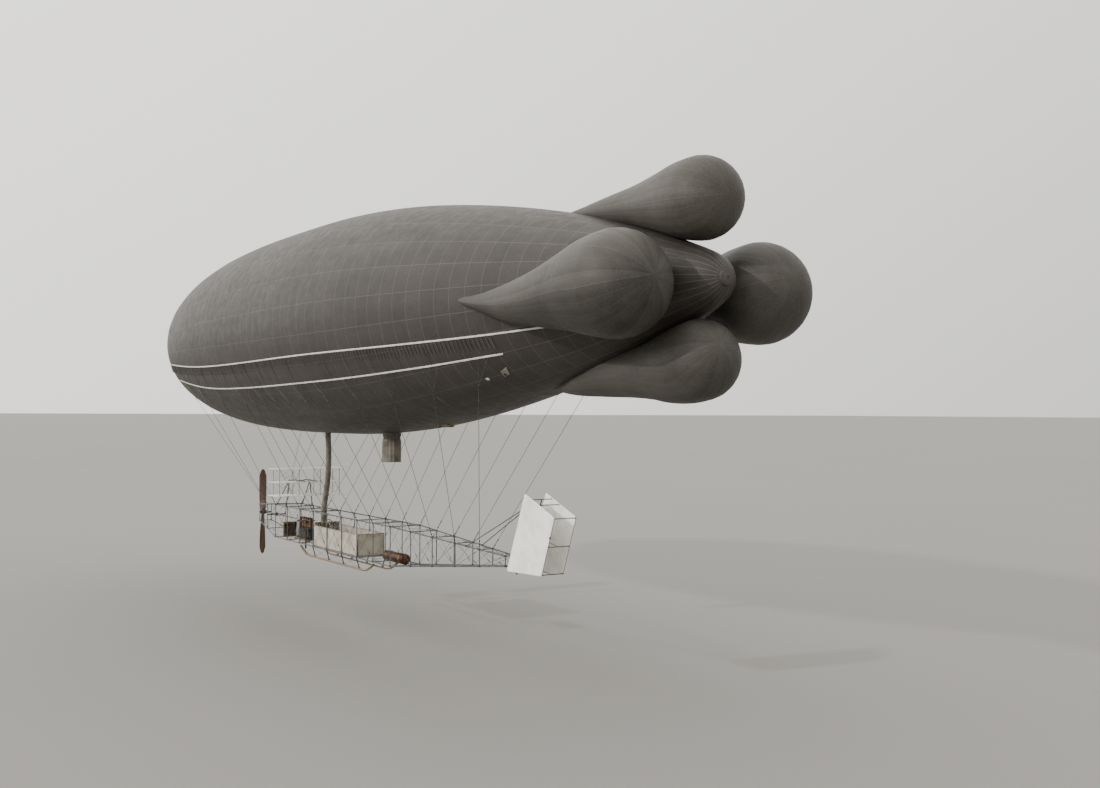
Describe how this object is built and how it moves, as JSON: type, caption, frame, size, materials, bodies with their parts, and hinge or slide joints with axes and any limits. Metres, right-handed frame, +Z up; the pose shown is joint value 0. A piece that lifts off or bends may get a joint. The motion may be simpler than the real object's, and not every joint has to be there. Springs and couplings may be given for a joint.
{
  "type": "1:2 scale model of an early non-rigid airship",
  "caption": "Long fabric gas envelope with pear-shaped tail lobes, and a slung lattice car with a nose propeller, stacked elevator planes and a twin-plane rudder.",
  "frame": {"origin": "centre of lift of the gas envelope, on its axis", "axes": "+X towards the nose, +Y to port, +Z up"},
  "size_m": [28.2288, 5.29, 8.985],
  "materials": {
    "envelope_fabric": "dark warm-grey rubberised cotton, fine seams, slightly satin",
    "belt_webbing": "off-white canvas webbing and stays",
    "canvas": "taut white canvas",
    "steel_tube": "dark painted steel tube",
    "iron": "oily dark iron",
    "brass": "dull brass",
    "copper": "dull copper sheet",
    "wood": "varnished hardwood",
    "aluminium": "brushed sheet"
  },
  "bodies": {
    "airship": {"envelope_top_port": "envelope_fabric", "envelope_top_starboard": "envelope_fabric", "envelope_bottom_port": "envelope_fabric", "envelope_bottom_starboard": "envelope_fabric", "lobe_top": "envelope_fabric", "lobe_bottom": "envelope_fabric", "lobe_port": "envelope_fabric", "lobe_starboard": "envelope_fabric", "inflation_neck": "envelope_fabric", "nose_cap": "aluminium", "tail_cap": "aluminium", "gas_valve_aft": "brass", "gas_valve_fore": "brass", "gas_valve_top": "brass", "side_valve": "belt_webbing", "suspension_aft_port": "belt_webbing", "suspension_aft_starboard": "belt_webbing", "suspension_mid_port": "belt_webbing", "suspension_mid_starboard": "belt_webbing", "suspension_fore_port": "belt_webbing", "suspension_fore_starboard": "belt_webbing", "girder_aft": "steel_tube", "girder_mid": "steel_tube", "girder_fore": "steel_tube", "pit_floor": "wood", "pit_side_port": "canvas", "pit_side_starboard": "canvas", "pit_dash": "aluminium", "pit_back": "canvas", "crew_bench": "wood", "rudder_wheel": "wood", "elevator_wheel": "wood", "engine_bed": "wood", "engine": "iron", "gearbox": "aluminium", "exhaust_pipe": "iron", "radiator": "brass", "fuel_tank": "copper", "blower": "aluminium", "air_duct": "envelope_fabric", "landing_skid_port": "wood", "landing_skid_starboard": "wood", "shaft_bearing_rear": "iron", "shaft_bearing_front": "iron", "elevator_masts": "steel_tube", "rudder_post": "steel_tube"},
    "propeller": {"propeller_shaft": "steel_tube", "propeller": "wood", "propeller_boss": "steel_tube"},
    "elevator": {"elevator_planes": "canvas", "elevator_arms": "steel_tube"},
    "rudder": {"rudder_frame": "steel_tube", "rudder_plane_port": "canvas", "rudder_plane_starboard": "canvas"}
  },
  "joints": [
    {"name": "propeller_spin", "type": "hinge", "parent": "airship", "child": "propeller", "pos_m": [6.36, 0, -5.06], "axis": [1, 0, 0], "continuous": true},
    {"name": "elevator_tilt", "type": "hinge", "parent": "airship", "child": "elevator", "pos_m": [3.35, 0, -4], "axis": [0, 1, 0], "range_deg": [-18, 18]},
    {"name": "rudder_turn", "type": "hinge", "parent": "airship", "child": "rudder", "pos_m": [-8.44, 0, -5.155], "axis": [-0.3928, 0, 0.9196], "range_deg": [-25, 25]}
  ]
}
